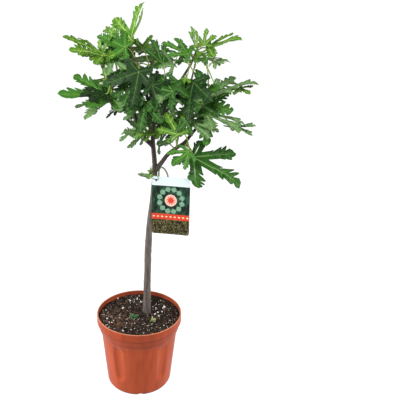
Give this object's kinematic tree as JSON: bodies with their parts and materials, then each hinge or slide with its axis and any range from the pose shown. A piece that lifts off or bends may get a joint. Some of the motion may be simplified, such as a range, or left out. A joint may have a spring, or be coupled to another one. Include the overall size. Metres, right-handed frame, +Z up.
{
  "type": "potted fig tree",
  "caption": "Young fig tree with lobed leaves on a slim trunk, standing in a round plastic nursery pot of soil, with a plant label tied to the trunk.",
  "frame": {"origin": "centre of the pot's flat underside, where it meets the floor", "axes": "+Z up; -Y towards the side that the label faces; +X to the right seen from that side"},
  "size_m": [0.4174, 0.3293, 0.888],
  "materials": {
    "pot_shell": "semi-gloss moulded plastic, terracotta colour",
    "soil": "loose dark potting soil with pale grains",
    "bark": "smooth grey-brown bark with leaf scars",
    "leaf": "matt green leaf blades with pale ribs, on pale green stalks",
    "label": "printed plastic card",
    "tie": "thin plastic loop"
  },
  "bodies": {
    "root": {"pot": "pot_shell", "soil": "soil", "trunk": "bark", "bough_right": "bark", "bough_right_upper": "bark", "bough_left": "bark", "bough_left_upper": "bark", "bough_leader": "bark", "bough_crest": "bark", "bough_back_left": "bark", "bough_back_right": "bark", "foliage_top_left": "leaf", "foliage_left": "leaf", "foliage_low_left": "leaf", "foliage_front": "leaf", "foliage_low_centre": "leaf", "foliage_low_right": "leaf", "foliage_right": "leaf", "foliage_top_right": "leaf", "foliage_top_centre": "leaf", "foliage_back_left": "leaf", "foliage_back_right": "leaf", "foliage_back_top": "leaf", "foliage_back_low": "leaf", "foliage_sprig": "leaf", "label": "label", "label_tie": "tie"}
  },
  "joints": []
}
